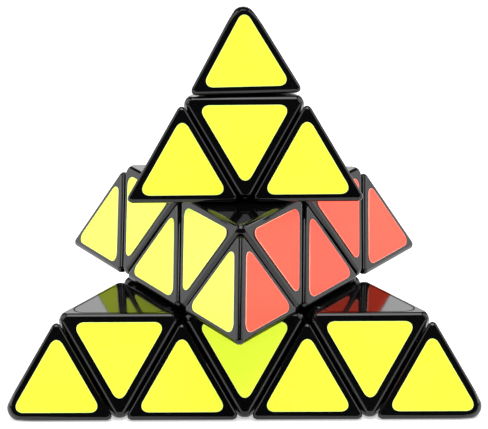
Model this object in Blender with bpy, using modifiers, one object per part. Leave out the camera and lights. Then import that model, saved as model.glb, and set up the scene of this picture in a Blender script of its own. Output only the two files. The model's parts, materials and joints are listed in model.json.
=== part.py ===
"""A four-layer pyramid twisty puzzle, built as an assembly of separate pieces round a ball core.

Metres, +Z up. The origin is on the table, straight below the corner that points up, and the front face
looks along -Y. Every piece is shaped about the pyramid's centre, where its four turning axes meet. All the
surfaces that slide on each other are planes square to an axis, cylinders on an axis or spheres about the
centre, so each layer can turn past its neighbours. Each kind of piece is shaped once, for the top corner,
and its copies are carried to the other corners.
"""

import math

import bmesh
import bpy
from mathutils import Matrix, Vector

# The outside.
EDGE = 0.100  # edge of the sharp-cornered pyramid that the outer faces lie on
LAYERS = 4
TOP_TIP_TURN = math.radians(5)  # how far the top tip stands turned about the upright axis
SECOND_LAYER_TURN = math.radians(1.2)
THIRD_LAYER_TURN = math.radians(-62)
TURNING_GAP = 0.0003  # space between two neighbouring pieces
ROUNDING = 0.0009  # radius along the edges of every block
CORNER_RADIUS = 0.0026  # radius of the blunt end at each of the pyramid's four corners
CORNER_DEPTH = 0.00626  # from the sharp corner in to the middle of its blunt end

# The shells round the centre that the pieces' feet slide in, from the core outwards.
CORE_RADIUS = 0.0124
EDGE_FOOT_INNER = 0.0129
EDGE_FOOT_OUTER = 0.0156
WING_FOOT_INNER = 0.0161
WING_FOOT_OUTER = 0.0176
BLOCK_INNER = 0.0180
FOOT_REACH = 0.0018  # how far a foot slides in under its neighbour
PLUG_RADIUS = 0.0105  # the round plug on which a corner's outer layers turn
PLUG_CLEARANCE = 0.0003
ROOT_DEPTH = 0.0015  # how far a plug or a neck goes on into the block that carries it
NECK_RELIEF = 0.00005  # how much further back than its block a neck stands
INNERMOST = 0.0060  # where the tools that cut the shells start

# Along one turning axis, measured from the centre outwards.
ARM_RADIUS = 0.0027
ARM_END = 0.0141
PILOT_RADIUS = 0.00135
PILOT_START = 0.0055
STEM_RADIUS = 0.0028
STEM_START = 0.0144
STEM_CLEARANCE = 0.0004
SCREW_RADIUS = 0.0012
SCREW_START = 0.0060
SCREW_BORE_RADIUS = 0.0016
SOCKET_RADIUS = 0.0037
SOCKET_START = 0.0388
BOSS_RADIUS = 0.0034
BOSS_START = 0.0391
DISC_RADIUS = 0.0047
DISC_START = 0.0413
DISC_END = 0.0432
POCKET_RADIUS = 0.0050
POCKET_END = 0.0435
WELL_RADIUS = 0.0032
WELL_END = 0.0493
SPRING_START = 0.0434
SPRING_END = 0.0463
SPRING_RADIUS = 0.0022
SPRING_WIRE_RADIUS = 0.0003
SPRING_TURNS = 3
WASHER_RADIUS = 0.0028
WASHER_START = 0.0465
WASHER_END = 0.0470
HEAD_RADIUS = 0.0024
HEAD_START = 0.0472
HEAD_END = 0.0488
SLOT_LENGTH = 0.0028
SLOT_WIDTH = 0.0006
SLOT_DEPTH = 0.0009

# Fineness of the round surfaces.
ROUND_STEPS = 24
SMALL_ROUND_STEPS = 12
ROUNDING_STEPS = 2
CORNER_LEAN = 0.6  # how far the blunt end's side planes lean from the corner's axis towards its edges
MERGE_DISTANCE = 0.00002

LAYER = EDGE * math.sqrt(2 / 3) / LAYERS
HALF_GAP = TURNING_GAP / 2
NECK_BACK = HALF_GAP + NECK_RELIEF
NECK_SIDE = FOOT_REACH + HALF_GAP
FOOT_SIDE = NECK_SIDE + NECK_RELIEF
FOOT_FRONT = FOOT_REACH - HALF_GAP
BASE_INRADIUS = EDGE / math.sqrt(12)
BASE_CIRCUMRADIUS = EDGE / math.sqrt(3)
CENTRE = Vector((0, 0, LAYER))
CORNERS = ("top", "left", "right", "rear")
AXES = {
    "top": Vector((0, 0, 1)),
    "left": Vector((-EDGE / 2, -BASE_INRADIUS, -LAYER)).normalized(),
    "right": Vector((EDGE / 2, -BASE_INRADIUS, -LAYER)).normalized(),
    "rear": Vector((0, BASE_CIRCUMRADIUS, -LAYER)).normalized(),
}

# Colour, roughness and metallic value.
BLACK_PLASTIC = ((0.012, 0.012, 0.014), 0.16, 0.0)
INNER_PLASTIC = ((0.030, 0.030, 0.033), 0.45, 0.0)
STEEL = ((0.62, 0.62, 0.64), 0.25, 1.0)


# The scene.


def clear_scene():
    for obj in list(bpy.data.objects):
        bpy.data.objects.remove(obj, do_unlink=True)


def new_collection(name):
    collection = bpy.data.collections.new(name)
    bpy.context.scene.collection.children.link(collection)
    return collection


def new_material(name, look):
    colour, roughness, metallic = look
    material = bpy.data.materials.new(name)
    material.use_nodes = True
    shader = material.node_tree.nodes["Principled BSDF"]
    shader.inputs["Base Color"].default_value = (*colour, 1)
    shader.inputs["Roughness"].default_value = roughness
    shader.inputs["Metallic"].default_value = metallic
    return material


# Shaping tools. A shape is a bmesh about the pyramid's centre.


def trim(shape, point, normal):
    """Cuts off what lies beyond a plane, on the side that the normal points to, and closes the cut."""
    bmesh.ops.bisect_plane(
        shape,
        geom=shape.verts[:] + shape.edges[:] + shape.faces[:],
        dist=MERGE_DISTANCE,
        plane_co=point,
        plane_no=normal,
        clear_outer=True,
    )
    bmesh.ops.holes_fill(shape, edges=[edge for edge in shape.edges if edge.is_boundary])


def kept(shape, above=None, below=None):
    """The part of a convex shape above some cuts square to the axes and below others."""
    for axis, height in (above or {}).items():
        trim(shape, AXES[axis] * height, -AXES[axis])
    for axis, height in (below or {}).items():
        trim(shape, AXES[axis] * height, AXES[axis])
    bmesh.ops.recalc_face_normals(shape, faces=shape.faces)
    return shape


def pyramid():
    shape = bmesh.new()
    bmesh.ops.create_cone(
        shape,
        cap_ends=True,
        segments=3,
        radius1=BASE_CIRCUMRADIUS,
        radius2=0,
        depth=LAYERS * LAYER,
        matrix=Matrix.Translation((0, 0, LAYER)),
    )
    bmesh.ops.remove_doubles(shape, verts=shape.verts, dist=MERGE_DISTANCE)
    return shape


def ball(radius):
    shape = bmesh.new()
    bmesh.ops.create_uvsphere(shape, u_segments=ROUND_STEPS, v_segments=ROUND_STEPS // 2, radius=radius)
    return shape


def rod(radius, start, end, axis="top", steps=ROUND_STEPS):
    """A cylinder on a turning axis."""
    shape = bmesh.new()
    bmesh.ops.create_cone(
        shape,
        cap_ends=True,
        segments=steps,
        radius1=radius,
        radius2=radius,
        depth=end - start,
        matrix=carry_to(axis) @ Matrix.Translation((0, 0, (start + end) / 2)),
    )
    return shape


def box(size, middle):
    shape = bmesh.new()
    bmesh.ops.create_cube(shape, size=1, matrix=Matrix.Translation(middle) @ Matrix.Diagonal((*size, 1)))
    return shape


def lies_on_outside(face):
    return any(abs(face.calc_center_median().dot(axis) + LAYER) < HALF_GAP for axis in AXES.values())


def softened(shape):
    """Rounds a convex block's edges, and blunts the pyramid's own corners where it has one."""
    planes = []
    for edge in shape.edges:
        first, second = (face.normal.copy() for face in edge.link_faces)
        own = all(lies_on_outside(face) for face in edge.link_faces)
        steps = ROUNDING_STEPS if own else 1
        middle = edge.verts[0].co - (first + second) * ROUNDING / (1 + first.dot(second))
        for step in range(steps):
            normal = first.slerp(second, (step + 0.5) / steps)
            planes.append((middle + normal * ROUNDING, normal))
    for corner in shape.verts:
        if all(lies_on_outside(face) for face in corner.link_faces):
            outward = corner.co.normalized()
            middle = corner.co - outward * CORNER_DEPTH
            sides = [sum((face.normal for face in edge.link_faces), Vector()) for edge in corner.link_edges]
            normals = [outward.lerp(side.normalized(), CORNER_LEAN).normalized() for side in sides]
            planes += [(middle + normal * CORNER_RADIUS, normal) for normal in (outward, *normals)]
    for point, normal in planes:
        trim(shape, point, normal)
    bmesh.ops.recalc_face_normals(shape, faces=shape.faces)
    return shape


def as_object(shape):
    mesh = bpy.data.meshes.new("work")
    shape.to_mesh(mesh)
    shape.free()
    obj = bpy.data.objects.new("work", mesh)
    bpy.context.scene.collection.objects.link(obj)
    return obj


def evaluated(obj, helpers=()):
    """The object with its modifiers applied, as a shape. The working objects are removed."""
    shape = bmesh.new()
    shape.from_object(obj, bpy.context.evaluated_depsgraph_get())
    for used in (obj, *helpers):
        bpy.data.objects.remove(used, do_unlink=True)
    return shape


def combined(shape, *steps):
    """The shape after a chain of Boolean steps, each an operation and the shape that it uses.

    The shells' cuts meet at small angles, where the EXACT solver leaves open edges and MANIFOLD doesn't.
    """
    obj = as_object(shape)
    helpers = []
    for operation, other in steps:
        helpers.append(as_object(other))
        boolean = obj.modifiers.new(operation, "BOOLEAN")
        boolean.operation = operation
        boolean.object = helpers[-1]
        boolean.solver = "MANIFOLD"
    result = evaluated(obj, helpers)
    bmesh.ops.remove_doubles(result, verts=result.verts, dist=MERGE_DISTANCE)
    bmesh.ops.dissolve_degenerate(result, edges=result.edges, dist=MERGE_DISTANCE)
    return result


def turned(profile, steps=SMALL_ROUND_STEPS):
    """A solid turned about the top corner's axis.

    The profile's (radius, height) points run from the top down the outer side. A profile that starts off
    the axis is a closed ring.
    """
    mesh = bpy.data.meshes.new("profile")
    edges = [(i, i + 1) for i in range(len(profile) - 1)]
    if profile[0][0] > 0:
        edges.append((len(profile) - 1, 0))
    mesh.from_pydata([(radius, 0, height) for radius, height in profile], edges, [])
    obj = bpy.data.objects.new("profile", mesh)
    bpy.context.scene.collection.objects.link(obj)
    screw = obj.modifiers.new("Screw", "SCREW")
    screw.steps = steps
    screw.render_steps = steps
    screw.use_merge_vertices = True
    screw.merge_threshold = MERGE_DISTANCE
    return evaluated(obj)


# Where the copies go.


def frame_of(first, second):
    """Axes that stand on the first corner's axis and lean towards the second corner."""
    upright = AXES[first]
    side = (AXES[second] - upright * AXES[second].dot(upright)).normalized()
    return Matrix((side, upright.cross(side), upright)).transposed()


def carry(first, second):
    """The turn about the centre that carries the top corner to the first one and the left to the second."""
    return (frame_of(first, second) @ frame_of("top", "left").transposed()).to_4x4()


def carry_to(corner):
    """A turn that carries the top corner to another one."""
    return carry(corner, "left" if corner == "top" else "top")


# The pieces of plastic, each shaped for the top corner, or for the edge from it to the left corner.


def tip_cap_shape():
    """The hollow corner piece that clips over its turning base."""
    cap = softened(kept(pyramid(), above={"top": 2 * LAYER + HALF_GAP}))
    pocket = rod(POCKET_RADIUS, 2 * LAYER - ROOT_DEPTH, POCKET_END)
    well = rod(WELL_RADIUS, POCKET_END - ROOT_DEPTH, WELL_END)
    return combined(cap, ("DIFFERENCE", pocket), ("DIFFERENCE", well))


def tip_base_shape():
    """The disc that carries a tip cap, with a boss that turns in the axial piece's socket."""
    return turned([
        (SCREW_BORE_RADIUS, DISC_END),
        (DISC_RADIUS, DISC_END),
        (DISC_RADIUS, DISC_START),
        (BOSS_RADIUS, DISC_START),
        (BOSS_RADIUS, BOSS_START),
        (SCREW_BORE_RADIUS, BOSS_START),
    ])


def axial_shape():
    """The piece under a tip: a block, the middle of the plug and a stem that turns on the core's arm."""
    block = softened(kept(
        pyramid(),
        above={"top": LAYER + HALF_GAP},
        below={"top": 2 * LAYER - HALF_GAP, "left": -HALF_GAP, "right": -HALF_GAP, "rear": -HALF_GAP},
    ))
    plug = kept(
        rod(PLUG_RADIUS, INNERMOST, LAYER + ROOT_DEPTH),
        below={"left": -NECK_BACK, "right": -NECK_BACK, "rear": -NECK_BACK},
    )
    return combined(
        block,
        ("UNION", plug),
        ("DIFFERENCE", ball(BLOCK_INNER)),
        ("UNION", rod(STEM_RADIUS, STEM_START, LAYER)),
        ("DIFFERENCE", rod(SCREW_BORE_RADIUS, INNERMOST, 2 * LAYER, steps=SMALL_ROUND_STEPS)),
        ("DIFFERENCE", rod(SOCKET_RADIUS, SOCKET_START, 2 * LAYER)),
    )


def wing_shape():
    """The piece on an edge next to a corner. Its foot lies under the middle of the corner's plug."""
    block = softened(kept(pyramid(), above={"top": LAYER + HALF_GAP, "left": HALF_GAP}))
    neck = kept(
        rod(PLUG_RADIUS, INNERMOST, LAYER + ROOT_DEPTH),
        above={"left": NECK_BACK},
        below={"right": -NECK_SIDE, "rear": -NECK_SIDE},
    )
    foot = kept(
        rod(PLUG_RADIUS - NECK_RELIEF, INNERMOST + ROOT_DEPTH, LAYER),
        above={"left": -FOOT_FRONT},
        below={"right": -FOOT_SIDE, "rear": -FOOT_SIDE},
    )
    return combined(
        block,
        ("UNION", neck),
        ("UNION", combined(foot, ("INTERSECT", ball(WING_FOOT_OUTER)))),
        ("DIFFERENCE", ball(WING_FOOT_INNER)),
        ("DIFFERENCE", rod(STEM_RADIUS + STEM_CLEARANCE, INNERMOST, LAYER)),
    )


def edge_shape():
    """The piece in the middle of an edge. Its foot lies under the feet of its neighbours."""
    block = softened(kept(
        pyramid(),
        above={"top": HALF_GAP, "left": HALF_GAP},
        below={"top": LAYER - HALF_GAP, "left": LAYER - HALF_GAP, "right": -HALF_GAP, "rear": -HALF_GAP},
    ))
    neck = kept(
        ball(BLOCK_INNER + ROOT_DEPTH),
        above={"top": NECK_BACK, "left": NECK_BACK},
        below={"right": -NECK_SIDE, "rear": -NECK_SIDE},
    )
    foot = kept(
        ball(EDGE_FOOT_OUTER),
        above={"top": HALF_GAP, "left": HALF_GAP},
        below={"right": -HALF_GAP, "rear": -HALF_GAP},
    )
    plug_space = PLUG_RADIUS + PLUG_CLEARANCE
    return combined(
        block,
        ("DIFFERENCE", ball(BLOCK_INNER)),
        ("UNION", neck),
        ("DIFFERENCE", rod(plug_space, INNERMOST, 2 * LAYER)),
        ("DIFFERENCE", rod(plug_space, INNERMOST, 2 * LAYER, "left")),
        ("UNION", foot),
        ("DIFFERENCE", ball(EDGE_FOOT_INNER)),
    )


def center_shape():
    """The piece in the middle of the face opposite the top corner. Its foot lies under the middle edges."""
    sides = ("left", "right", "rear")
    block = softened(kept(pyramid(), above=dict.fromkeys(sides, HALF_GAP)))
    foot = kept(ball(WING_FOOT_OUTER), above=dict.fromkeys(sides, -FOOT_FRONT))
    stem = kept(ball(BLOCK_INNER + ROOT_DEPTH), above=dict.fromkeys(sides, NECK_BACK))
    plug_spaces = [rod(PLUG_RADIUS + PLUG_CLEARANCE, INNERMOST, 2 * LAYER, side) for side in sides]
    return combined(
        block,
        ("DIFFERENCE", ball(BLOCK_INNER)),
        ("UNION", combined(foot, ("DIFFERENCE", ball(WING_FOOT_INNER)))),
        ("UNION", stem),
        ("DIFFERENCE", plug_spaces[0]),
        ("DIFFERENCE", plug_spaces[1]),
        ("DIFFERENCE", plug_spaces[2]),
        ("DIFFERENCE", ball(EDGE_FOOT_INNER)),
    )


def pivot_shape():
    """The loose inner piece round an arm of the core, between the feet of three middle edges."""
    wedge = kept(ball(EDGE_FOOT_OUTER), below={"left": -HALF_GAP, "right": -HALF_GAP, "rear": -HALF_GAP})
    return combined(
        wedge,
        ("DIFFERENCE", ball(EDGE_FOOT_INNER)),
        ("DIFFERENCE", rod(STEM_RADIUS + STEM_CLEARANCE, INNERMOST, LAYER)),
    )


def core_shape():
    """A ball with an arm towards each corner, bored for the corner's screw."""
    core = ball(CORE_RADIUS)
    arms = [("UNION", rod(ARM_RADIUS, INNERMOST, ARM_END, corner)) for corner in CORNERS]
    pilots = [
        ("DIFFERENCE", rod(PILOT_RADIUS, PILOT_START, LAYER, corner, SMALL_ROUND_STEPS)) for corner in CORNERS
    ]
    return combined(core, *arms, *pilots)


# The metal pieces, each made for the top corner.


def screw_shape():
    """A screw through a tip base and an axial piece into the core, with a cross cut in its head."""
    body = turned([
        (0, HEAD_END),
        (HEAD_RADIUS, HEAD_END),
        (HEAD_RADIUS, HEAD_START),
        (SCREW_RADIUS, HEAD_START),
        (SCREW_RADIUS, SCREW_START),
        (0, SCREW_START),
    ])
    slots = [
        box(size, (0, 0, HEAD_END))
        for size in ((SLOT_LENGTH, SLOT_WIDTH, 2 * SLOT_DEPTH), (SLOT_WIDTH, SLOT_LENGTH, 2 * SLOT_DEPTH))
    ]
    return combined(body, ("DIFFERENCE", slots[0]), ("DIFFERENCE", slots[1]))


def washer_shape():
    return turned([
        (SCREW_BORE_RADIUS, WASHER_END),
        (WASHER_RADIUS, WASHER_END),
        (WASHER_RADIUS, WASHER_START),
        (SCREW_BORE_RADIUS, WASHER_START),
    ])


def spring_shape():
    """A compression spring round the screw, as a wire along a helix."""
    first = SPRING_START + SPRING_WIRE_RADIUS
    last = SPRING_END - SPRING_WIRE_RADIUS
    steps = SPRING_TURNS * SMALL_ROUND_STEPS
    curve = bpy.data.curves.new("spring", "CURVE")
    curve.dimensions = "3D"
    curve.bevel_depth = SPRING_WIRE_RADIUS
    curve.bevel_resolution = 1
    curve.use_fill_caps = True
    spline = curve.splines.new("POLY")
    spline.points.add(steps)
    for step, point in enumerate(spline.points):
        angle = 2 * math.pi * step / SMALL_ROUND_STEPS
        height = first + (last - first) * step / steps
        point.co = (SPRING_RADIUS * math.cos(angle), SPRING_RADIUS * math.sin(angle), height, 1)
    wire = bpy.data.objects.new("spring", curve)
    bpy.context.scene.collection.objects.link(wire)
    graph = bpy.context.evaluated_depsgraph_get()
    mesh = bpy.data.meshes.new_from_object(wire.evaluated_get(graph))
    shape = bmesh.new()
    shape.from_mesh(mesh)
    bmesh.ops.remove_doubles(shape, verts=shape.verts, dist=MERGE_DISTANCE)
    bpy.data.objects.remove(wire, do_unlink=True)
    return shape


# The assembly.


def finished_mesh(name, shape, material):
    bmesh.ops.triangulate(shape, faces=shape.faces)
    mesh = bpy.data.meshes.new(name)
    shape.to_mesh(mesh)
    shape.free()
    mesh.materials.append(material)
    mesh.shade_smooth()
    mesh.set_sharp_from_angle(angle=math.radians(30))
    return mesh


def place(name, mesh, turn, layer, collection):
    obj = bpy.data.objects.new(name, mesh)
    collection.objects.link(obj)
    obj.parent = layer
    obj.rotation_euler = turn.to_euler()
    return obj


def layer_centre(name, turn, collection):
    """An empty at the pyramid's centre. It carries the pieces that turn together."""
    empty = bpy.data.objects.new(name, None)
    collection.objects.link(empty)
    empty.location = CENTRE
    empty.rotation_euler.z = turn
    return empty


def build():
    clear_scene()
    parts = new_collection("pyramid_twisty_puzzle")
    black = new_material("black_plastic", BLACK_PLASTIC)
    inner = new_material("inner_plastic", INNER_PLASTIC)
    steel = new_material("steel", STEEL)

    base_layer = layer_centre("base_layer_centre", 0, parts)
    third_layer = layer_centre("third_layer_centre", THIRD_LAYER_TURN, parts)
    second_layer = layer_centre("second_layer_centre", SECOND_LAYER_TURN, parts)
    top_tip = layer_centre("top_tip_centre", TOP_TIP_TURN, parts)

    def corner_layer(corner):
        return second_layer if corner == "top" else base_layer

    tip = {
        "tip_cap": finished_mesh("tip_cap", tip_cap_shape(), black),
        "tip_base": finished_mesh("tip_base", tip_base_shape(), inner),
    }
    axial = finished_mesh("axial", axial_shape(), black)
    fixed_to_core = {
        "screw": finished_mesh("screw", screw_shape(), steel),
        "spring": finished_mesh("spring", spring_shape(), steel),
        "washer": finished_mesh("washer", washer_shape(), steel),
    }
    for corner in CORNERS:
        tip_layer = top_tip if corner == "top" else base_layer
        for kind, mesh in tip.items():
            place(f"{corner}_{kind}", mesh, carry_to(corner), tip_layer, parts)
        place(f"{corner}_axial", axial, carry_to(corner), corner_layer(corner), parts)
        for kind, mesh in fixed_to_core.items():
            place(f"{corner}_{kind}", mesh, carry_to(corner), base_layer, parts)

    pivot = finished_mesh("pivot", pivot_shape(), inner)
    center = finished_mesh("center", center_shape(), black)
    face_opposite = {"top": "bottom", "left": "right", "right": "left", "rear": "front"}
    for corner in CORNERS:
        pivot_layer = third_layer if corner == "top" else base_layer
        center_layer = base_layer if corner == "top" else third_layer
        place(f"{corner}_pivot", pivot, carry_to(corner), pivot_layer, parts)
        place(f"{face_opposite[corner]}_center", center, carry_to(corner), center_layer, parts)

    wing = finished_mesh("wing", wing_shape(), black)
    edge = finished_mesh("edge", edge_shape(), black)
    for first in CORNERS:
        for second in CORNERS:
            if first == second:
                continue
            wing_layer = third_layer if second == "top" else corner_layer(first)
            place(f"{first}_wing_{second}", wing, carry(first, second), wing_layer, parts)
            if CORNERS.index(first) < CORNERS.index(second):
                edge_layer = third_layer if first == "top" else base_layer
                place(f"{first}_{second}_edge", edge, carry(first, second), edge_layer, parts)

    core = finished_mesh("core", core_shape(), inner)
    place("core", core, Matrix(), base_layer, parts)


build()
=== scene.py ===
# %% [markdown]
# # A pyramid twisty puzzle
#
# The object is a four-layer pyramid puzzle: thirty black plastic pieces round a ball core, with a coloured
# vinyl triangle on every outer facet. One layer stands part of the way through its turn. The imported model
# already fixes where every piece is and how it turns, so this script only makes the fine surfaces: the same
# pieces with smooth rounded edges, the stickers, the metal parts and their finishes. All lengths are metres.

# %% Load the fixed model
import json
import math

import bpy
from mathutils import Matrix, Vector


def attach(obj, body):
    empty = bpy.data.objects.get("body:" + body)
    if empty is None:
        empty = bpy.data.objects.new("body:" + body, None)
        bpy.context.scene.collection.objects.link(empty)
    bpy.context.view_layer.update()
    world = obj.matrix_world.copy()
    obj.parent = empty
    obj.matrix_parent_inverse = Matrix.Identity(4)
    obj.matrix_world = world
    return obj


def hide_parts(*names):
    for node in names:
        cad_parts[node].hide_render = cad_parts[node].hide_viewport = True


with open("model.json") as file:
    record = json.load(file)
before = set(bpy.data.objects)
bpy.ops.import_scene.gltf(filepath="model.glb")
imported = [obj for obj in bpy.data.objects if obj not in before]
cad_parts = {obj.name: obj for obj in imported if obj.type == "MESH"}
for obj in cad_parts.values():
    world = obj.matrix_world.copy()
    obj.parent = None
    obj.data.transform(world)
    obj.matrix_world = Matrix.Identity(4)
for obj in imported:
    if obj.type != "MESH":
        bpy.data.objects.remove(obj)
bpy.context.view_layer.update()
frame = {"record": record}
behaviour = frame["record"]["behaviour"]
body_of_node = {node: body for body, nodes in behaviour["bodies"].items() for node in nodes}

# %% [markdown]
# ## The pyramid's own coordinates
#
# A regular pyramid has four corners, and the puzzle turns about the four lines from its centre to them.
# Every cut between two layers is square to one of those lines, so it is natural to measure a point by its
# height along each line. One layer is the unit: the joint in the model sits at the centre, one layer above
# the table, and this gives the size of everything else.

# %% The layer, the corners and the four axes
CENTRE = Vector(behaviour["joints"][0]["pos_m"])
LAYER = CENTRE.z
EDGE = 4 * LAYER * math.sqrt(3 / 2)
CORNERS = ("top", "left", "right", "rear")
AXES = {
    "top": Vector((0, 0, 1)),
    "left": Vector((-EDGE / 2, -EDGE / math.sqrt(12), -LAYER)).normalized(),
    "right": Vector((EDGE / 2, -EDGE / math.sqrt(12), -LAYER)).normalized(),
    "rear": Vector((0, EDGE / math.sqrt(3), -LAYER)).normalized(),
}
FACE_OPPOSITE = {"top": "bottom", "left": "right", "right": "left", "rear": "front"}
TURNS_AT_REST = {
    "top_tip": math.radians(5),
    "second_layer": math.radians(1.2),
    "third_layer": math.radians(-62),
}
print(f"edge {EDGE * 1000:.1f} mm, layer {LAYER * 1000:.2f} mm")

# %% [markdown]
# ## From one piece to its copies
#
# There are only five kinds of outside piece, and each is shaped once, for the top corner, or for the edge
# between the top and left corners. A turn about the centre carries it to every other place. The turn is
# found by standing a little set of axes on the first corner, leaning towards the second one.

# %% Turns that carry one corner to another
def leaning_axes(first, second):
    upright = AXES[first]
    side = (AXES[second] - upright * AXES[second].dot(upright)).normalized()
    return Matrix((side, upright.cross(side), upright)).transposed()


def carry(first, second=None):
    """The turn that takes the top corner to the first one and the left corner to the second one."""
    second = second or ("left" if first == "top" else "top")
    return (leaning_axes(first, second) @ leaning_axes("top", "left").transposed()).to_4x4()


def at_rest(node):
    """From round the centre to a node's place in the model, with its layer's turn."""
    turn = TURNS_AT_REST.get(body_of_node[node], 0)
    return Matrix.Translation(CENTRE) @ Matrix.Rotation(turn, 4, "Z")


# %% [markdown]
# ## Working as by hand, but in code
#
# Each piece is modelled with the same operators as in Blender's window: add a primitive, go into edit mode,
# bisect, bevel. An operator acts on whatever is selected, so these helpers first deselect everything.

# %% Selecting, editing and applying
def ready_for_new():
    if bpy.context.object and bpy.context.object.mode == "EDIT":
        bpy.ops.object.mode_set(mode="OBJECT")
    bpy.ops.object.select_all(action="DESELECT")


def only(obj):
    ready_for_new()
    obj.select_set(True)
    bpy.context.view_layer.objects.active = obj


def added(name):
    """Names the primitive that was just added, and puts its place into its mesh."""
    obj = bpy.context.object
    obj.name = name
    bpy.ops.object.transform_apply(location=True, rotation=True, scale=True)
    return obj


def editing(obj, kind="VERT", wanted=None):
    """Goes into edit mode with everything selected, or only the wanted edges or faces."""
    only(obj)
    bpy.ops.object.mode_set(mode="EDIT")
    bpy.ops.mesh.select_mode(type=kind)
    bpy.ops.mesh.select_all(action="DESELECT" if wanted else "SELECT")
    if wanted:
        bpy.ops.object.mode_set(mode="OBJECT")
        for element in obj.data.edges if kind == "EDGE" else obj.data.polygons:
            element.select = wanted(element)
        bpy.ops.object.mode_set(mode="EDIT")


def slice_off(obj, cuts):
    """Cuts off what lies beyond each plane and closes the cut. A cut is a point and a normal."""
    editing(obj)
    for point, normal in cuts:
        bpy.ops.mesh.select_all(action="SELECT")
        bpy.ops.mesh.bisect(plane_co=point, plane_no=normal, use_fill=True, clear_outer=True)
    bpy.ops.mesh.select_all(action="SELECT")
    bpy.ops.mesh.normals_make_consistent(inside=False)
    bpy.ops.object.mode_set(mode="OBJECT")
    return obj


def layer_cuts(above=None, below=None):
    """Planes square to the axes, which keep what is above some heights and below others."""
    cuts = [(AXES[axis] * height, -AXES[axis]) for axis, height in (above or {}).items()]
    return cuts + [(AXES[axis] * height, AXES[axis]) for axis, height in (below or {}).items()]


def applied(obj, name, kind, **settings):
    """Adds a modifier with these settings and applies it."""
    only(obj)
    modifier = obj.modifiers.new(name, kind)
    for key, value in settings.items():
        setattr(modifier, key, value)
    bpy.ops.object.modifier_apply(modifier=modifier.name)
    return obj


def joined(obj, operation, tool):
    """A Boolean with a tool that is used up. Both meshes are closed, so the quick MANIFOLD solver is safe."""
    applied(obj, operation.title(), "BOOLEAN", operation=operation, object=tool, solver="MANIFOLD")
    bpy.data.objects.remove(tool, do_unlink=True)
    return obj


# %% [markdown]
# ## The outside blocks
#
# Moulded edges are never sharp. A narrow rounding along every edge of every piece makes the dark grooves with
# a thin highlight on each side. How far a bevel sets back for a given radius depends on the angle between the
# two faces, so each edge gets its own share of one Bevel modifier's width. The corners of a piece are blunter
# than its edges. Two bevels in a row would fold over each other there, so the block is made twice: once with
# the narrow rounding, and once a little swollen with a wide one. The second only reaches inside the first at
# the corners, and what the two have in common is the piece. A corner on the pyramid's own edge can be split
# in two by a very short edge, because of the gap, and a Weld closes it before the bevel.

# %% A rounded block between layer cuts
HALF_GAP = 0.00015
ROUNDING = 0.0009
ROUNDING_SEGMENTS = 6
SPLIT_CORNER = 0.001
# The wide rounding and how far that block is swollen, for a block with four corners and for one with six.
FOUR_CORNERED = (0.00143, 0.00028)
SIX_CORNERED = (0.0019, 0.0002)


def pyramid(name):
    ready_for_new()
    bpy.ops.mesh.primitive_cone_add(
        vertices=3,
        radius1=EDGE / math.sqrt(3),
        radius2=0,
        depth=4 * LAYER,
        end_fill_type="NGON",
        location=(0, 0, LAYER),
    )
    return added(name)


def rounded_block(name, above, below, radius, swell):
    """The part of the pyramid between these cuts, swollen on every side, with this radius along its edges."""
    obj = pyramid(name)
    obj.data.transform(Matrix.Scale(1 + swell / LAYER, 4))
    lower = {axis: height - swell for axis, height in (above or {}).items()}
    upper = {axis: height + swell for axis, height in (below or {}).items()}
    slice_off(obj, layer_cuts(lower, upper))
    applied(obj, "Weld", "WELD", merge_threshold=SPLIT_CORNER)
    mesh = obj.data
    normals_at = {key: [] for key in mesh.edge_keys}
    for face in mesh.polygons:
        for key in face.edge_keys:
            normals_at[key].append(face.normal)
    setbacks = {
        key: radius * math.tan(math.acos(one.dot(other)) / 2) for key, (one, other) in normals_at.items()
    }
    widest = max(setbacks.values())
    weights = mesh.attributes.new("bevel_weight_edge", "FLOAT", "EDGE")
    for edge in mesh.edges:
        weights.data[edge.index].value = setbacks[edge.key] / widest
    applied(
        obj,
        "Bevel",
        "BEVEL",
        limit_method="WEIGHT",
        width=widest,
        segments=ROUNDING_SEGMENTS,
        use_clamp_overlap=False,
    )
    return obj


def block(name, corner, above=None, below=None):
    """A block with narrow edges and blunter corners: what two rounded blocks have in common."""
    obj = rounded_block(name, above, below, ROUNDING, 0)
    return joined(obj, "INTERSECT", rounded_block("corners", above, below, *corner))


# %% [markdown]
# ## The hidden mechanism
#
# Under the blocks the pieces hook into each other. Each foot slides in a round shell under its neighbour,
# and a round plug under each corner is what its outer layers turn on. All these surfaces are turned ones
# about the centre or an axis, so they are made from fine balls and rods, cut by the same planes as the
# blocks.

# %% Balls, rods and the sizes of the shells
# A foot's two numbers are the inner and outer radius of its shell.
CORE_RADIUS = 0.0124
EDGE_FOOT = (0.0129, 0.0156)
WING_FOOT = (0.0161, 0.0176)
BLOCK_INNER = 0.0180
FOOT_REACH = 0.0018
PLUG_RADIUS = 0.0105
PLUG_SPACE = 0.0108
STEM_RADIUS = 0.0028
STEM_SPACE = 0.0032
STEM_START = 0.0144
ROOT_DEPTH = 0.0015
RELIEF = 0.00005
INNERMOST = 0.0060
ROUND_STEPS = 64


def ball(name, radius):
    ready_for_new()
    bpy.ops.mesh.primitive_uv_sphere_add(segments=ROUND_STEPS, ring_count=ROUND_STEPS // 2, radius=radius)
    return added(name)


def rod(name, radius, start, end, axis="top", steps=ROUND_STEPS):
    ready_for_new()
    bpy.ops.mesh.primitive_cylinder_add(
        vertices=steps, radius=radius, depth=end - start, location=(0, 0, (start + end) / 2)
    )
    obj = added(name)
    obj.data.transform(carry(axis))
    return obj


# %% [markdown]
# A moulding's flat faces should look flat up to where the rounding starts. Weighted normals do that: each
# corner takes its direction from the largest face at it, so the narrow bevel faces bend and the flats don't.

# %% Shading of a finished moulding
SMOOTH_BELOW = math.radians(40)
SAME_POINT = 0.000002


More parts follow.
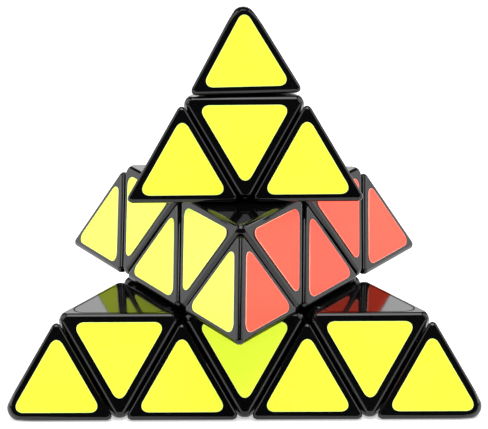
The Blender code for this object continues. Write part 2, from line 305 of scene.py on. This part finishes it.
def finished(obj):
    applied(obj, "Weld", "WELD", merge_threshold=SAME_POINT)
    only(obj)
    bpy.ops.object.shade_smooth_by_angle(angle=SMOOTH_BELOW)
    applied(obj, "Weighted Normal", "WEIGHTED_NORMAL", keep_sharp=True)
    return obj


# %% [markdown]
# ## The tip caps
#
# A tip is a small hollow pyramid with nothing to hook it in. It clips over a round base that turns under the
# screw's head, so it only needs a pocket for the base and a narrower well for the spring and the head. Its
# point is blunt, or it would prick: what is left is where the pyramid and a dome spun about the same axis
# overlap.

# %% Spinning an outline about an axis
SPIN_SEAM = 0.000005


def spun(name, outline, steps=ROUND_STEPS):
    """Spins an outline of (radius, height) points once round the upright axis."""
    ready_for_new()
    bpy.ops.mesh.primitive_plane_add(size=0.001)
    obj = added(name)
    editing(obj)
    bpy.ops.mesh.merge(type="CENTER")
    bpy.ops.transform.translate(value=(outline[0][0], 0, outline[0][1]))
    for (radius, height), (last_radius, last_height) in zip(outline[1:], outline):
        bpy.ops.mesh.extrude_region_move(
            TRANSFORM_OT_translate={"value": (radius - last_radius, 0, height - last_height)}
        )
    bpy.ops.mesh.select_all(action="SELECT")
    bpy.ops.mesh.spin(steps=steps, angle=2 * math.pi, center=(0, 0, 0), axis=(0, 0, 1))
    bpy.ops.mesh.select_all(action="SELECT")
    bpy.ops.mesh.remove_doubles(threshold=SPIN_SEAM)
    bpy.ops.mesh.normals_make_consistent(inside=False)
    bpy.ops.object.mode_set(mode="OBJECT")
    return obj


# %% A tip cap
# The pocket and the well are each a radius and the height of their end.
POCKET = (0.0050, 0.0435)
WELL = (0.0032, 0.0493)
CORNER_RADIUS = 0.0026
CORNER_DEPTH = 0.00626
DOME_SWEEP = math.radians(48)
DOME_STEPS = 12


def corner_dome():
    """A ball's cap at the corner, which runs out into a cone wide enough to miss the rest of the tip."""
    middle = 3 * LAYER - CORNER_DEPTH
    outline = []
    for step in range(DOME_STEPS + 1):
        angle = DOME_SWEEP * step / DOME_STEPS
        outline.append((CORNER_RADIUS * math.sin(angle), middle + CORNER_RADIUS * math.cos(angle)))
    radius, height = outline[-1]
    drop = height - LAYER
    return spun("dome", outline + [(radius + drop / math.tan(DOME_SWEEP), height - drop), (0, height - drop)])


def tip_cap_moulding():
    cap = block("tip_cap", FOUR_CORNERED, above={"top": 2 * LAYER + HALF_GAP})
    joined(cap, "INTERSECT", corner_dome())
    joined(cap, "DIFFERENCE", rod("pocket", POCKET[0], 2 * LAYER - ROOT_DEPTH, POCKET[1]))
    joined(cap, "DIFFERENCE", rod("well", WELL[0], POCKET[1] - ROOT_DEPTH, WELL[1]))
    return finished(cap)


# %% [markdown]
# ## The corner pieces under the tips
#
# An axial piece never leaves its axis. Its block is an eight-sided one with a sticker on three sides. Below
# it hangs the middle of the corner's plug, and a hollow stem that turns on the core's arm round the screw.
# The three inner faces, which come into the open when a layer turns, are closed by lids. All that shows of a
# lid is the fine line round it, which follows the rounded edges and cuts off the corners.

# %% The line round a lid
LID_INSET = 0.00088
LID_CORNER = 0.0026
LID_LINE_WIDTH = 0.0003
LID_LINE_HEIGHT = 0.0008


def rounded_triangle(name, radius, corner, segments):
    """A flat triangle, sized by its radius before its corners are made into arcs. Stays in edit mode."""
    ready_for_new()
    bpy.ops.mesh.primitive_circle_add(vertices=3, radius=radius, fill_type="NGON")
    obj = added(name)
    editing(obj)
    bpy.ops.mesh.bevel(
        offset=corner * math.sqrt(3), offset_type="OFFSET", segments=segments, profile=0.5, affect="VERTICES"
    )
    return obj


def lid_line(axis):
    """A tool for the fine line round the lid that closes an inner face of the axial piece."""
    obj = rounded_triangle("lid_line", EDGE / 4 / math.sqrt(3) - 2 * LID_INSET, LID_CORNER, 8)
    bpy.ops.mesh.inset(thickness=LID_LINE_WIDTH)
    bpy.ops.mesh.delete(type="FACE")
    bpy.ops.object.mode_set(mode="OBJECT")
    applied(obj, "Solidify", "SOLIDIFY", thickness=LID_LINE_HEIGHT, offset=0)
    middle = AXES["top"] * 1.5 * LAYER + AXES[axis] * (LAYER / 2 - HALF_GAP)
    turn = AXES[axis].to_track_quat("Z", "Y").to_matrix().to_4x4()
    obj.data.transform(Matrix.Translation(middle) @ turn)
    return obj


# %% An axial piece
SCREW_BORE = 0.0016
SOCKET = (0.0037, 0.0388)
SIDES = ("left", "right", "rear")


def axial_moulding():
    below = {"top": 2 * LAYER - HALF_GAP, **dict.fromkeys(SIDES, -HALF_GAP)}
    piece = block("axial", SIX_CORNERED, above={"top": LAYER + HALF_GAP}, below=below)
    plug = rod("plug", PLUG_RADIUS, INNERMOST, LAYER + ROOT_DEPTH)
    slice_off(plug, layer_cuts(below=dict.fromkeys(SIDES, -HALF_GAP - RELIEF)))
    joined(piece, "UNION", plug)
    joined(piece, "DIFFERENCE", ball("shell", BLOCK_INNER))
    joined(piece, "UNION", rod("stem", STEM_RADIUS, STEM_START, LAYER))
    joined(piece, "DIFFERENCE", rod("bore", SCREW_BORE, INNERMOST, 2 * LAYER))
    joined(piece, "DIFFERENCE", rod("socket", SOCKET[0], SOCKET[1], 2 * LAYER))
    for axis in SIDES:
        joined(piece, "DIFFERENCE", lid_line(axis))
    return finished(piece)


# %% [markdown]
# ## The wings
#
# A wing is the small four-sided piece on an edge, next to a corner. Its neck goes down through the corner's
# plug, and its foot lies under the middle of the plug, which holds it in.

# %% A wing
def wing_moulding():
    side = FOOT_REACH + HALF_GAP
    piece = block("wing", FOUR_CORNERED, above={"top": LAYER + HALF_GAP, "left": HALF_GAP})
    neck = rod("neck", PLUG_RADIUS, INNERMOST, LAYER + ROOT_DEPTH)
    slice_off(neck, layer_cuts(above={"left": HALF_GAP + RELIEF}, below={"right": -side, "rear": -side}))
    foot = rod("foot", PLUG_RADIUS - RELIEF, INNERMOST + ROOT_DEPTH, LAYER)
    foot_sides = dict.fromkeys(("right", "rear"), -side - RELIEF)
    slice_off(foot, layer_cuts(above={"left": HALF_GAP - FOOT_REACH}, below=foot_sides))
    joined(foot, "INTERSECT", ball("shell", WING_FOOT[1]))
    joined(piece, "UNION", neck)
    joined(piece, "UNION", foot)
    joined(piece, "DIFFERENCE", ball("shell", WING_FOOT[0]))
    joined(piece, "DIFFERENCE", rod("stem_space", STEM_SPACE, INNERMOST, LAYER))
    return finished(piece)


# %% [markdown]
# ## The middle edges
#
# The piece in the middle of an edge reaches deepest. Its neck passes between the round spaces for the two
# plugs, and its foot lies under the feet of the wings and centres beside it, right round the core.

# %% A middle edge
def edge_moulding():
    near = {"top": HALF_GAP, "left": HALF_GAP}
    far = {"right": -HALF_GAP, "rear": -HALF_GAP}
    tops = {"top": LAYER - HALF_GAP, "left": LAYER - HALF_GAP}
    side = FOOT_REACH + HALF_GAP
    piece = block("edge", SIX_CORNERED, above=near, below={**tops, **far})
    neck = ball("neck", BLOCK_INNER + ROOT_DEPTH)
    back = HALF_GAP + RELIEF
    slice_off(neck, layer_cuts(above={"top": back, "left": back}, below={"right": -side, "rear": -side}))
    foot = slice_off(ball("foot", EDGE_FOOT[1]), layer_cuts(near, far))
    joined(piece, "DIFFERENCE", ball("shell", BLOCK_INNER))
    joined(piece, "UNION", neck)
    for axis in ("top", "left"):
        joined(piece, "DIFFERENCE", rod("plug_space", PLUG_SPACE, INNERMOST, 2 * LAYER, axis))
    joined(piece, "UNION", foot)
    joined(piece, "DIFFERENCE", ball("core_space", EDGE_FOOT[0]))
    return finished(piece)


# %% [markdown]
# ## The face centres
#
# Only one facet of a face centre shows. Behind it the piece is a long wedge that ends at the core, with a
# thin flange all round that lies under the middle edges.

# %% A face centre
def center_moulding():
    piece = block("center", FOUR_CORNERED, above=dict.fromkeys(SIDES, HALF_GAP))
    flange = ball("flange", WING_FOOT[1])
    slice_off(flange, layer_cuts(above=dict.fromkeys(SIDES, HALF_GAP - FOOT_REACH)))
    joined(flange, "DIFFERENCE", ball("shell", WING_FOOT[0]))
    stem = ball("stem", BLOCK_INNER + ROOT_DEPTH)
    slice_off(stem, layer_cuts(above=dict.fromkeys(SIDES, HALF_GAP + RELIEF)))
    joined(piece, "DIFFERENCE", ball("shell", BLOCK_INNER))
    joined(piece, "UNION", flange)
    joined(piece, "UNION", stem)
    for side in SIDES:
        joined(piece, "DIFFERENCE", rod("plug_space", PLUG_SPACE, INNERMOST, 2 * LAYER, side))
    joined(piece, "DIFFERENCE", ball("core_space", EDGE_FOOT[0]))
    return finished(piece)


# %% [markdown]
# ## Copies in their places
#
# Each copy gets its own mesh, and its place goes into that mesh, so every finished object sits at the origin
# like the model's own nodes. The copy then rides on the body of the node that it stands for.

# %% One copy for one node
def copied(source, name, matrix, body):
    mesh = source.data.copy()
    mesh.name = name
    mesh.transform(matrix)
    mesh.update()
    obj = bpy.data.objects.new(name, mesh)
    bpy.context.scene.collection.objects.link(obj)
    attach(obj, body)
    return obj


def stands_for(source, node, turn):
    obj = copied(source, f"{node}_detail", at_rest(node) @ turn, body_of_node[node])
    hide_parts(node)
    return obj


# %% [markdown]
# ## The finishes
#
# Three finishes cover the puzzle: black ABS straight from a polished mould, printed vinyl, and steel. Small
# things make black plastic believable: it isn't equally smooth everywhere, and handling leaves faint dull
# patches. One node group works out both that roughness and a very shallow ripple, and the finishes use it
# with their own numbers.

# %% A node group for a surface that is a little uneven
def new_node(tree, kind, **inputs):
    node = tree.nodes.new(kind)
    for key, value in inputs.items():
        node.inputs[key.replace("_", " ")].default_value = value
    return node


def uneven_surface_group():
    group = bpy.data.node_groups.new("uneven_surface", "ShaderNodeTree")
    for name, default in (
        ("Patch Scale", 60.0),
        ("Grain Scale", 1500.0),
        ("Smooth Roughness", 0.08),
        ("Dull Roughness", 0.2),
    ):
        socket = group.interface.new_socket(name, in_out="INPUT", socket_type="NodeSocketFloat")
        socket.default_value = default
    for name in ("Roughness", "Height", "Patch"):
        group.interface.new_socket(name, in_out="OUTPUT", socket_type="NodeSocketFloat")
    links = group.links
    given = group.nodes.new("NodeGroupInput")
    result = group.nodes.new("NodeGroupOutput")
    place = group.nodes.new("ShaderNodeTexCoord")
    patches = new_node(group, "ShaderNodeTexNoise", Detail=4.0, Roughness=0.6)
    grain = new_node(group, "ShaderNodeTexNoise", Detail=2.0, Roughness=0.5)
    contrast = new_node(group, "ShaderNodeMapRange", From_Min=0.42, From_Max=0.72)
    spread = group.nodes.new("ShaderNodeMapRange")
    links.new(place.outputs["Object"], patches.inputs["Vector"])
    links.new(place.outputs["Object"], grain.inputs["Vector"])
    links.new(given.outputs["Patch Scale"], patches.inputs["Scale"])
    links.new(given.outputs["Grain Scale"], grain.inputs["Scale"])
    links.new(patches.outputs["Fac"], contrast.inputs["Value"])
    links.new(contrast.outputs["Result"], spread.inputs["Value"])
    links.new(given.outputs["Smooth Roughness"], spread.inputs["To Min"])
    links.new(given.outputs["Dull Roughness"], spread.inputs["To Max"])
    links.new(spread.outputs["Result"], result.inputs["Roughness"])
    links.new(grain.outputs["Fac"], result.inputs["Height"])
    links.new(contrast.outputs["Result"], result.inputs["Patch"])
    return group


UNEVEN_SURFACE = uneven_surface_group()

# %% Using the group in a finish
# Patches a metre, grains a metre, the roughness where it is smooth and where it is dull, and the ripple.
UNEVENNESS = {
    "polished": (45, 900, 0.06, 0.13, 0.000002),
    "matt": (90, 3000, 0.38, 0.55, 0.00001),
    "plated": (400, 6000, 0.18, 0.34, 0.000003),
    "vinyl": (120, 2500, 0.30, 0.35, 0.000004),
}


def new_material(name, specular=0.5, metallic=0.0):
    material = bpy.data.materials.new(name)
    material.use_nodes = True
    shader = material.node_tree.nodes["Principled BSDF"]
    shader.inputs["Specular IOR Level"].default_value = specular
    shader.inputs["Metallic"].default_value = metallic
    return material, material.node_tree, shader


def add_unevenness(tree, shader, kind):
    """Joins the group to a finish's roughness and, through a Bump node, to its normal."""
    patch_scale, grain_scale, smooth, dull, ripple = UNEVENNESS[kind]
    uneven = tree.nodes.new("ShaderNodeGroup")
    uneven.node_tree = UNEVEN_SURFACE
    uneven.inputs["Patch Scale"].default_value = patch_scale
    uneven.inputs["Grain Scale"].default_value = grain_scale
    uneven.inputs["Smooth Roughness"].default_value = smooth
    uneven.inputs["Dull Roughness"].default_value = dull
    bump = new_node(tree, "ShaderNodeBump", Strength=1.0, Distance=ripple)
    tree.links.new(uneven.outputs["Roughness"], shader.inputs["Roughness"])
    tree.links.new(uneven.outputs["Height"], bump.inputs["Height"])
    tree.links.new(bump.outputs["Normal"], shader.inputs["Normal"])
    return uneven


def colour_mix(tree, factor, first, second):
    """Mixes two colours by a factor. Either may be a colour or a socket. Gives the mixed colour's socket."""
    mix = tree.nodes.new("ShaderNodeMix")
    mix.data_type = "RGBA"
    tree.links.new(factor, mix.inputs["Factor"])
    for socket, colour in (("A", first), ("B", second)):
        if isinstance(colour, tuple):
            mix.inputs[socket].default_value = (*colour, 1)
        else:
            tree.links.new(colour, mix.inputs[socket])
    return mix.outputs["Result"]


# %% [markdown]
# The outside plastic is nearly a mirror at a low angle, because its mould was polished. The inside is left
# as the mould's spark-eroded steel made it, so it is duller and greyer.

# %% The black plastics
POLISHED_BLACK = ((0.0015, 0.0015, 0.0020), (0.0025, 0.0025, 0.0030))
MATT_BLACK = ((0.022, 0.022, 0.025), (0.034, 0.034, 0.038))


def plain_finish(name, kind, colours, **settings):
    """A finish whose patches differ a little in colour as well as in roughness."""
    material, tree, shader = new_material(name, **settings)
    uneven = add_unevenness(tree, shader, kind)
    tree.links.new(colour_mix(tree, uneven.outputs["Patch"], *colours), shader.inputs["Base Color"])
    return material


polished_black = plain_finish("polished_black_abs", "polished", POLISHED_BLACK, specular=0.4)
matt_black = plain_finish("matt_black_abs", "matt", MATT_BLACK)

# %% [markdown]
# The screws, springs and washers are bright zinc-plated steel, with a fine uneven grain from the plating.

# %% The steel
ZINC = ((0.60, 0.61, 0.64), (0.47, 0.48, 0.50))
steel = plain_finish("plated_steel", "plated", ZINC, metallic=1.0)

# %% [markdown]
# A sticker is vinyl with a printed film on top. The warm inks are day-glow ones: they turn blue light into
# their own colour and look brighter than a plain ink can. Each film also glows with a light of its own: for
# the warm inks this is partly their real day-glow, and the rest, like the glow of the blue and green films,
# is painted light that stands in for lamp light. The thin pale line round every triangle is a painted
# highlight along the sticker's cut edge. The stickers carry a number at each vertex that says whether it is
# on that line.

# %% The vinyl in four colours
# For each face, the colour's name, its deeper and lighter patches, and how strongly it glows: painted light,
# in the warm inks partly their real day-glow.
RIM = "rim"
# The pale colour painted round each sticker's edge, a painted highlight.
PAINTED_EDGE_HIGHLIGHT = (0.62, 0.60, 0.48)
VINYL_COLOURS = {
    "front": ("yellow", (0.76, 0.95, 0.044), (0.80, 0.98, 0.054), 0.38),
    "right": ("red", (0.76, 0.034, 0.004), (0.80, 0.040, 0.007), 0.9),
    "left": ("blue", (0.010, 0.085, 0.50), (0.014, 0.105, 0.56), 0.2),
    "bottom": ("green", (0.010, 0.36, 0.060), (0.014, 0.41, 0.075), 0.2),
}


def vinyl(name, deep, light, painted_glow):
    material, tree, shader = new_material(f"{name}_vinyl")
    uneven = add_unevenness(tree, shader, "vinyl")
    rim = tree.nodes.new("ShaderNodeAttribute")
    rim.attribute_name = RIM
    film = colour_mix(tree, uneven.outputs["Patch"], deep, light)
    # The rim takes the pale colour of a painted highlight along the cut edge.
    colour = colour_mix(tree, rim.outputs["Fac"], film, PAINTED_EDGE_HIGHLIGHT)
    tree.links.new(colour, shader.inputs["Base Color"])
    # The glow is painted light, a light of the film's own, partly the real day-glow of the warm inks.
    tree.links.new(film, shader.inputs["Emission Color"])
    shader.inputs["Emission Strength"].default_value = painted_glow
    return material


# %% [markdown]
# ## The stickers
#
# The cells of a face point up or down by turns. The stickers that point down sit on the wider pieces and are
# cut a little larger. A sticker starts as a three-sided disc. Its corners are bevelled into arcs, Solidify
# gives it the thickness of vinyl, and a small bevel breaks the cut edge. An inset marks off the rim, where a
# pale painted highlight goes.

# %% A sticker
VINYL_THICKNESS = 0.00015
STICKER_CORNER = 0.0015
STICKER_SIDE = {"up": 0.0182, "down": 0.0190}
RIM_WIDTH = 0.00005
CUT_EDGE = 0.00004


def sticker(name, side):
    obj = rounded_triangle(name, side / math.sqrt(3), STICKER_CORNER, 14)
    bpy.ops.object.mode_set(mode="OBJECT")
    applied(obj, "Solidify", "SOLIDIFY", thickness=VINYL_THICKNESS, offset=1)
    points = obj.data.vertices
    editing(obj, "EDGE", lambda edge: all(points[i].co.z > VINYL_THICKNESS / 2 for i in edge.vertices))
    bpy.ops.mesh.bevel(offset=CUT_EDGE, segments=2, affect="EDGES")
    editing(obj, "FACE", lambda face: face.normal.z > 0.99 and face.area > RIM_WIDTH * side)
    bpy.ops.mesh.inset(thickness=RIM_WIDTH)
    bpy.ops.object.mode_set(mode="OBJECT")
    inner = {i for face in obj.data.polygons if face.select for i in face.vertices}
    # The rim mask is 1 where the pale painted highlight goes.
    rim = obj.data.attributes.new(RIM, "FLOAT", "POINT")
    for vertex in obj.data.vertices:
        rim.data[vertex.index].value = 0.0 if vertex.index in inner else 1.0
    bpy.ops.object.shade_smooth_by_angle(angle=SMOOTH_BELOW)
    return obj


# %% [markdown]
# A facet's place is easy to say in layers: how far its middle is from each face of the pyramid, counted in
# layers, gives the point, and the face that it lies on gives the direction. The four heights of any point
# add up to four layers.

# %% Where a facet is and which way it points
def facet(heights, face, points_up):
    """From a sticker lying at the origin to the facet at these heights, in layers above each face."""
    middle = sum((AXES[corner] * (0.75 * LAYER * height) for corner, height in heights.items()), Vector())
    outward = -AXES[face]
    towards = "rear" if face == "top" else "top"
    upward = (AXES[towards] + AXES[face] / 3).normalized() * (1 if points_up else -1)
    turn = Matrix((upward.cross(outward), upward, outward)).transposed().to_4x4()
    return Matrix.Translation(middle) @ turn


def heights_on(face, near):
    """The heights of a facet's middle: those given, and the rest shared by the corners left over."""
    others = [corner for corner in CORNERS if corner != face and corner not in near]
    share = (4 - sum(near.values())) / len(others) if others else 0
    return {face: 0, **near, **dict.fromkeys(others, share)}


# %% [markdown]
# ## The outside pieces go to their places
#
# The centre of a face lies opposite the corner that its piece is named for here. A wing belongs to one
# corner and leans towards another, and a middle edge lies between two.

# %% Thirty black pieces
def finish_with(source, material):
    source.data.materials.clear()
    source.data.materials.append(material)


def used_up(source):
    print(source.name, len(source.data.polygons), "faces")
    bpy.data.objects.remove(source, do_unlink=True)


def place_outside():
    cap, axial, wing = tip_cap_moulding(), axial_moulding(), wing_moulding()
    edge, center = edge_moulding(), center_moulding()
    sources = (cap, axial, wing, edge, center)
    for source in sources:
        finish_with(source, polished_black)
    for first in CORNERS:
        stands_for(cap, f"{first}_tip_cap", carry(first))
        stands_for(axial, f"{first}_axial", carry(first))
        stands_for(center, f"{FACE_OPPOSITE[first]}_center", carry(first))
        for second in CORNERS:
            if second != first:
                stands_for(wing, f"{first}_wing_{second}", carry(first, second))
            if CORNERS.index(second) > CORNERS.index(first):
                stands_for(edge, f"{first}_{second}_edge", carry(first, second))
    for source in sources:
        used_up(source)


place_outside()

# %% [markdown]
# ## Sixty-four stickers
#
# Every facet of every piece has one. A tip, an axial piece and a wing show a facet on each face that they
# touch, which is every face except those opposite their own corners. A triangle's middle is a third of its
# height from each side, so the heights come in thirds of a layer.

# %% The stickers go on
def facets():
    """Each facet's node, its face, the heights of its middle, and which way its triangle points."""
    for first in CORNERS:
        face = FACE_OPPOSITE[first]
        yield f"{face}_center", first, {}, True
        for other in (corner for corner in CORNERS if corner != first):
            yield f"{first}_tip_cap", other, {first: 10 / 3}, True
            yield f"{first}_axial", other, {first: 8 / 3}, False
        for second in (corner for corner in CORNERS if corner != first):
            for other in (corner for corner in CORNERS if corner not in (first, second)):
                yield f"{first}_wing_{second}", other, {first: 7 / 3, second: 4 / 3}, True
                if CORNERS.index(second) > CORNERS.index(first):
                    yield f"{first}_{second}_edge", other, {first: 5 / 3, second: 5 / 3}, False


def place_stickers():
    films = {face: vinyl(*colours) for face, colours in VINYL_COLOURS.items()}
    blanks = {way: sticker(f"sticker_{way}", side) for way, side in STICKER_SIDE.items()}
    for node, opposite, near, points_up in facets():
        face = FACE_OPPOSITE[opposite]
        place = at_rest(node) @ facet(heights_on(opposite, near), opposite, points_up)
        obj = copied(
            blanks["up" if points_up else "down"],
            f"{node}_{face}_sticker",
            place,
            body_of_node[node],
        )
        obj.data.materials.append(films[face])
    for blank in blanks.values():
        used_up(blank)


place_stickers()

# %% [markdown]
# ## The inside pieces
#
# They show only when the puzzle is taken apart. The tip's base is a stepped disc, spun from its outline; the
# core is a ball with four bored arms; and a pivot is the wedge of a shell round one arm.

# %% The inner mouldings
# Each of these starts with a radius. Then come the heights: an end, a start, both ends, and a start.
ARM = (0.0027, 0.0141)
PILOT = (0.00135, 0.0055)
DISC = (0.0047, 0.0413, 0.0432)
BOSS = (0.0034, 0.0391)
SMALL_CHAMFER = 0.0002


def tip_base_moulding():
    inner, outer = SCREW_BORE, DISC[0]
    base = spun("tip_base", [
        (inner, DISC[2]),
        (outer - SMALL_CHAMFER, DISC[2]),
        (outer, DISC[2] - SMALL_CHAMFER),
        (outer, DISC[1] + SMALL_CHAMFER),
        (outer - SMALL_CHAMFER, DISC[1]),
        (BOSS[0], DISC[1]),
        (BOSS[0], BOSS[1] + SMALL_CHAMFER),
        (BOSS[0] - SMALL_CHAMFER, BOSS[1]),
        (inner, BOSS[1]),
        (inner, DISC[2]),
    ])
    return finished(base)


def pivot_moulding():
    pivot = slice_off(ball("pivot", EDGE_FOOT[1]), layer_cuts(below=dict.fromkeys(SIDES, -HALF_GAP)))
    joined(pivot, "DIFFERENCE", ball("core_space", EDGE_FOOT[0]))
    joined(pivot, "DIFFERENCE", rod("stem_space", STEM_SPACE, INNERMOST, LAYER))
    return finished(pivot)


def core_moulding():
    core = ball("core", CORE_RADIUS)
    for corner in CORNERS:
        joined(core, "UNION", rod("arm", ARM[0], INNERMOST, ARM[1], corner))
    for corner in CORNERS:
        joined(core, "DIFFERENCE", rod("pilot", PILOT[0], PILOT[1], LAYER, corner))
    return finished(core)


# %% [markdown]
# ## The screws, springs and washers
#
# A screw is spun from an outline that includes its thread as a row of ridges; a real thread winds, but at
# this size the ridges look the same. The cross in its head is cut with two thin bars. The spring is a wire
# with a round section, swept along a helix by a Screw modifier.

# %% The metal pieces
# A radius comes first, and then the heights. The cross is a length, a width and a depth.
SHANK = (0.0012, 0.0060)
HEAD = (0.0024, 0.0472, 0.0488)
THREAD_DEPTH = 0.0002
THREAD_PITCH = 0.0007
THREAD_END = 0.0140
CROSS = (0.0028, 0.0006, 0.0009)
WASHER = (0.0028, 0.0465, 0.0470)
WASHER_STEPS = 48
SPRING = (0.0022, 0.0434, 0.0463)
SPRING_WIRE = 0.0003
SPRING_TURNS = 3
SMALL_STEPS = 32


def bar(name, size, middle):
    ready_for_new()
    bpy.ops.mesh.primitive_cube_add(size=1, location=middle, scale=size)
    return added(name)


def screw_turning():
    tip, root = SHANK[0], SHANK[0] - THREAD_DEPTH
    outline = [
        (0, HEAD[2]),
        (HEAD[0] - 2 * SMALL_CHAMFER, HEAD[2]),
        (HEAD[0], HEAD[2] - 2 * SMALL_CHAMFER),
        (HEAD[0], HEAD[1]),
        (tip, HEAD[1]),
    ]
    height = THREAD_END
    while height > SHANK[1] + THREAD_PITCH:
        outline += [(tip, height), (root, height - THREAD_PITCH / 3), (root, height - THREAD_PITCH / 2)]
        height -= THREAD_PITCH
    outline += [(tip, height), (root, SHANK[1]), (0, SHANK[1])]
    screw = spun("screw", outline, steps=SMALL_STEPS)
    length, width, depth = CROSS
    joined(screw, "DIFFERENCE", bar("slot", (length, width, 2 * depth), (0, 0, HEAD[2])))
    joined(screw, "DIFFERENCE", bar("slot", (width, length, 2 * depth), (0, 0, HEAD[2])))
    return finished(screw)


def washer_stamping():
    inner, outer = SCREW_BORE, WASHER[0]
    break_edge = SMALL_CHAMFER / 2
    washer = spun("washer", [
        (inner, WASHER[2]),
        (outer - break_edge, WASHER[2]),
        (outer, WASHER[2] - break_edge),
        (outer, WASHER[1]),
        (inner, WASHER[1]),
        (inner, WASHER[2]),
    ], steps=WASHER_STEPS)
    return finished(washer)


def spring_winding():
    ready_for_new()
    first, last = SPRING[1] + SPRING_WIRE, SPRING[2] - SPRING_WIRE
    bpy.ops.mesh.primitive_circle_add(
        vertices=12, radius=SPRING_WIRE, location=(SPRING[0], 0, first), rotation=(math.pi / 2, 0, 0)
    )
    wire = added("spring")
    modifier = wire.modifiers.new("Winding", "SCREW")
    modifier.angle = SPRING_TURNS * 2 * math.pi
    modifier.screw_offset = last - first
    modifier.steps = modifier.render_steps = SPRING_TURNS * SMALL_STEPS
    bpy.ops.object.modifier_apply(modifier=modifier.name)
    editing(wire)
    bpy.ops.mesh.select_all(action="DESELECT")
    bpy.ops.mesh.select_non_manifold()
    bpy.ops.mesh.edge_face_add()
    bpy.ops.mesh.select_all(action="SELECT")
    bpy.ops.mesh.normals_make_consistent(inside=False)
    bpy.ops.object.mode_set(mode="OBJECT")
    bpy.ops.object.shade_smooth_by_angle(angle=SMOOTH_BELOW)
    return wire


# %% The inside goes in
def place_inside():
    per_corner = (
        ("tip_base", tip_base_moulding(), matt_black, "inner_plastic"),
        ("pivot", pivot_moulding(), matt_black, "inner_plastic"),
        ("screw", screw_turning(), steel, "steel"),
        ("washer", washer_stamping(), steel, "steel"),
        ("spring", spring_winding(), steel, "steel"),
    )
    for kind, source, material, slot in per_corner:
        finish_with(source, material)
        for corner in CORNERS:
            stands_for(source, f"{corner}_{kind}", carry(corner))
        used_up(source)
    core = core_moulding()
    finish_with(core, matt_black)
    stands_for(core, "core", Matrix())
    used_up(core)


place_inside()

# %% [markdown]
# ## The floor
#
# The puzzle stands on its bottom stickers. The floor is one wide sheet, as pale as the studio behind it, so
# that no line shows where it ends. Its own glow keeps the shadow under the puzzle faint, as a sheet lit from
# below does.

# %% The floor
FLOOR_SIZE = 6
FLOOR_COLOUR = (0.9, 0.9, 0.9, 1)
FLOOR_GLOW = 0.55
WHITE = (1, 1, 1, 1)


def studio_floor():
    ready_for_new()
    bpy.ops.mesh.primitive_plane_add(size=FLOOR_SIZE, location=(0, 0, -VINYL_THICKNESS))
    floor = added("studio_floor")
    material, tree, shader = new_material("pale_paper", specular=0.2)
    shader.inputs["Base Color"].default_value = FLOOR_COLOUR
    shader.inputs["Roughness"].default_value = 0.9
    shader.inputs["Emission Color"].default_value = WHITE
    shader.inputs["Emission Strength"].default_value = FLOOR_GLOW
    floor.data.materials.append(material)


studio_floor()

# %% [markdown]
# ## The light
#
# A black glossy thing shows its surroundings more than its own colour. A white room would turn every face
# grey, so the background is white only where the camera sees it directly, and dim for everything else. Soft
# lights at the sides and above then draw the thin lines along the rounded edges.

# %% The room
ROOM_SEEN = 1.0
ROOM_LIGHT = 0.03


def studio_world():
    world = bpy.data.worlds.new("studio")
    bpy.context.scene.world = world
    world.use_nodes = True
    tree = world.node_tree
    background = tree.nodes["Background"]
    path = tree.nodes.new("ShaderNodeLightPath")
    level = new_node(tree, "ShaderNodeMapRange", To_Min=ROOM_LIGHT, To_Max=ROOM_SEEN)
    background.inputs["Color"].default_value = WHITE
    tree.links.new(path.outputs["Is Camera Ray"], level.inputs["Value"])
    tree.links.new(level.outputs["Result"], background.inputs["Strength"])


studio_world()

# %% [markdown]
# The two boxes and the lamp above the front light the stickers. The three walls stand low behind the puzzle,
# where the flat black frames and the ledges mirror them at a low angle, and turn those faces grey.

# %% The lamps
# Each lamp's place, width, height and power. They all point at the puzzle's centre.
LAMPS = {
    "left_box": ((-1.05, 0.05, 0.72), 1.1, 1.1, 8),
    "right_box": ((1.05, 0.05, 0.72), 1.1, 1.1, 8),
    "front_top": ((0.0, -0.45, 1.25), 0.9, 0.9, 13),
    "overhead": ((0.0, 0.1, 1.3), 0.7, 0.7, 3.5),
    "left_wall": ((-1.2, 0.65, 0.25), 0.9, 0.7, 3.0),
    "right_wall": ((1.2, 0.65, 0.25), 0.9, 0.7, 3.0),
    "rear_wall": ((0.0, 1.4, 0.42), 1.5, 0.7, 6.5),
}


def lamp(name, place, width, height, power):
    light = bpy.data.lights.new(name, "AREA")
    light.shape = "RECTANGLE"
    light.size = width
    light.size_y = height
    light.energy = power
    obj = bpy.data.objects.new(name, light)
    obj.location = place
    obj.rotation_euler = (CENTRE - Vector(place)).to_track_quat("-Z", "Y").to_euler()
    bpy.context.scene.collection.objects.link(obj)


for name, settings in LAMPS.items():
    lamp(name, *settings)

# %% [markdown]
# ## The camera
#
# A long lens from about six puzzle lengths away looks slightly down on the front face. The camera isn't
# quite level, so it has a little roll too.

# %% The camera
VIEW_AZIMUTH = math.radians(-1.26)
VIEW_ELEVATION = math.radians(17.35)
VIEW_ROLL = math.radians(0.18)
VIEW_DISTANCE = 0.5933
LENS = 211.8
AIM_UP = 0.0132
AIM_RIGHT = 0.0003


def studio_camera():
    level = math.cos(VIEW_ELEVATION)
    back = Vector((
        math.sin(VIEW_AZIMUTH) * level,
        -math.cos(VIEW_AZIMUTH) * level,
        math.sin(VIEW_ELEVATION),
    ))
    right = Vector((math.cos(VIEW_AZIMUTH), math.sin(VIEW_AZIMUTH), 0))
    up = back.cross(right)
    camera = bpy.data.cameras.new("camera")
    camera.lens = LENS
    camera.clip_start = 0.01
    camera.clip_end = 20
    obj = bpy.data.objects.new("camera", camera)
    turn = Matrix((right, up, back)).transposed() @ Matrix.Rotation(VIEW_ROLL, 3, "Z")
    target = CENTRE + up * AIM_UP + right * AIM_RIGHT
    obj.matrix_world = Matrix.Translation(target + back * VIEW_DISTANCE) @ turn.to_4x4()
    bpy.context.scene.collection.objects.link(obj)
    bpy.context.scene.camera = obj


studio_camera()
bpy.context.scene.view_settings.view_transform = "Standard"
